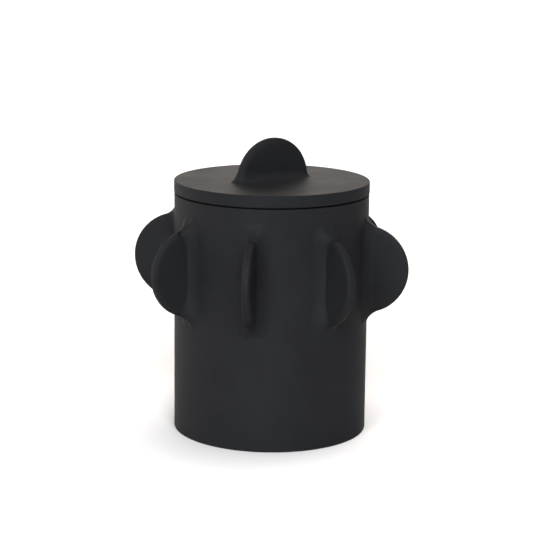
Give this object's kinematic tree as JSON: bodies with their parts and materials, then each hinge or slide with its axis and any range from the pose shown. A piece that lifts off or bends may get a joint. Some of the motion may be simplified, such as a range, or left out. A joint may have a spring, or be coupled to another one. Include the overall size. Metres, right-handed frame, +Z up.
{
  "type": "sugar bowl",
  "caption": "Round lidded sugar bowl: a straight pot with upright half-disc fins standing out around it, and a flush lid with a half-disc knob.",
  "frame": {"origin": "centre of the foot, on the table plane", "axes": "+Z up through the middle of the pot and the knob; +X along the knob's plate, through two opposite fins"},
  "size_m": [0.1294, 0.1294, 0.1367],
  "materials": {
    "pot": "unglazed matt black stoneware",
    "lid": "unglazed matt black stoneware",
    "seal": "matt black silicone"
  },
  "bodies": {
    "pot": {"pot_wall": "pot", "pot_base": "pot", "fin_1": "pot", "fin_2": "pot", "fin_3": "pot", "fin_4": "pot", "fin_5": "pot", "fin_6": "pot", "fin_7": "pot", "fin_8": "pot"},
    "seal": {"lid_seal": "seal"},
    "lid": {"lid_plate": "lid", "lid_spigot": "lid", "lid_knob": "lid"}
  },
  "joints": [
    {"name": "lid_lift", "type": "slide", "parent": "pot", "child": "seal", "axis": [0, 0, 1], "range_m": [0, 0.06]},
    {"name": "lid_turn", "type": "hinge", "parent": "seal", "child": "lid", "pos_m": [0, 0, 0.112], "axis": [0, 0, 1], "continuous": true}
  ]
}
